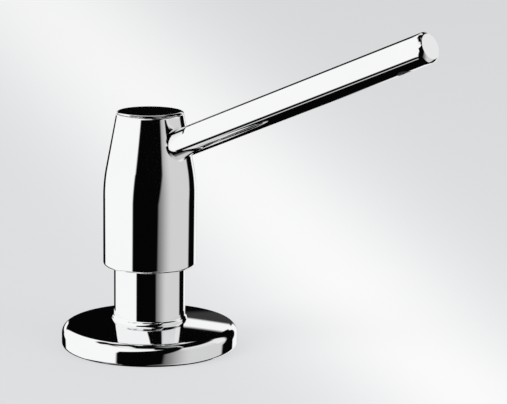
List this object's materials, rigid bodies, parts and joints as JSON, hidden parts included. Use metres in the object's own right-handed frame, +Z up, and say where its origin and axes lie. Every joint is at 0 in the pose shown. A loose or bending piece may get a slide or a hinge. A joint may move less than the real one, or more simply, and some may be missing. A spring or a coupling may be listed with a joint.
{
  "type": "soap pump dispenser",
  "caption": "Deck-mounted soap pump: round flange, guide stem, tapered press-down head with a straight rising spout, and a screw-on bottle under the deck.",
  "frame": {"origin": "on the pump's axis, at the underside of the flange, which is the top of the deck", "axes": "+Z up along the pump's axis, +X the way the spout points"},
  "size_m": [0.1371, 0.066, 0.2718],
  "materials": {
    "chrome": "mirror polished plating",
    "brass": "turned",
    "zinc_steel": "zinc plated",
    "stainless": "drawn, bright",
    "black_nylon": "moulded, fine texture",
    "rubber": "matt",
    "bottle_plastic": "blow moulded, translucent",
    "tube_plastic": "extruded, translucent",
    "white_plastic": "moulded",
    "bearing_plastic": "moulded"
  },
  "bodies": {
    "deck_body": {"base_flange": "chrome", "deck_gasket": "rubber", "guide_stem": "chrome", "threaded_shank": "brass"},
    "clamp": {"clamp_washer": "zinc_steel"},
    "nut": {"mounting_nut": "black_nylon"},
    "bottle_carrier": {"bottle_seal": "rubber"},
    "bottle": {"soap_bottle": "bottle_plastic"},
    "cartridge": {"pump_cylinder": "white_plastic", "cartridge_gasket": "rubber", "cylinder_cap": "white_plastic", "ball_cage": "white_plastic", "dip_tube": "tube_plastic", "return_spring": "stainless"},
    "inlet_valve_ball": {"inlet_ball": "stainless"},
    "plunger": {"piston_rod": "white_plastic", "piston": "bearing_plastic", "piston_seal": "rubber"},
    "outlet_valve_ball": {"outlet_ball": "stainless"},
    "head": {"pump_head": "chrome", "top_cap": "chrome", "guide_bush": "bearing_plastic", "rod_socket": "white_plastic", "spout_tube": "chrome", "spout_tip": "chrome", "spout_seal": "rubber", "outlet_nozzle": "black_nylon"}
  },
  "joints": [
    {"name": "pump_lift", "type": "slide", "parent": "deck_body", "child": "cartridge", "axis": [0, 0, 1], "range_m": [0, 0.2]},
    {"name": "head_press", "type": "slide", "parent": "cartridge", "child": "plunger", "axis": [0, 0, -1], "range_m": [0, 0.012], "stiffness_N_per_m": 500, "springref_m": -0.016, "deforming": ["return_spring"]},
    {"name": "head_swivel", "type": "hinge", "parent": "plunger", "child": "head", "pos_m": [0, 0, 0], "axis": [0, 0, 1], "continuous": true},
    {"name": "inlet_valve", "type": "slide", "parent": "cartridge", "child": "inlet_valve_ball", "axis": [0, 0, 1], "range_m": [0, 0.0015]},
    {"name": "outlet_valve", "type": "slide", "parent": "plunger", "child": "outlet_valve_ball", "axis": [0, 0, 1], "range_m": [0, 0.0012]},
    {"name": "nut_travel", "type": "slide", "parent": "deck_body", "child": "clamp", "axis": [0, 0, -1], "range_m": [-0.0092, 0.0142]},
    {"name": "nut_turn", "type": "hinge", "parent": "clamp", "child": "nut", "pos_m": [0, 0, 0], "axis": [0, 0, -1], "range_deg": [-1296, 2016]},
    {"name": "bottle_drop", "type": "slide", "parent": "deck_body", "child": "bottle_carrier", "axis": [0, 0, -1], "range_m": [0, 0.0142]},
    {"name": "bottle_turn", "type": "hinge", "parent": "bottle_carrier", "child": "bottle", "pos_m": [0, 0, 0], "axis": [0, 0, -1], "range_deg": [0, 1260]}
  ],
  "couplings": [
    {"joint": "nut_travel", "follows": "nut_turn", "m_per_rad": 0.00039789},
    {"joint": "bottle_drop", "follows": "bottle_turn", "m_per_rad": 0.00063662}
  ]
}
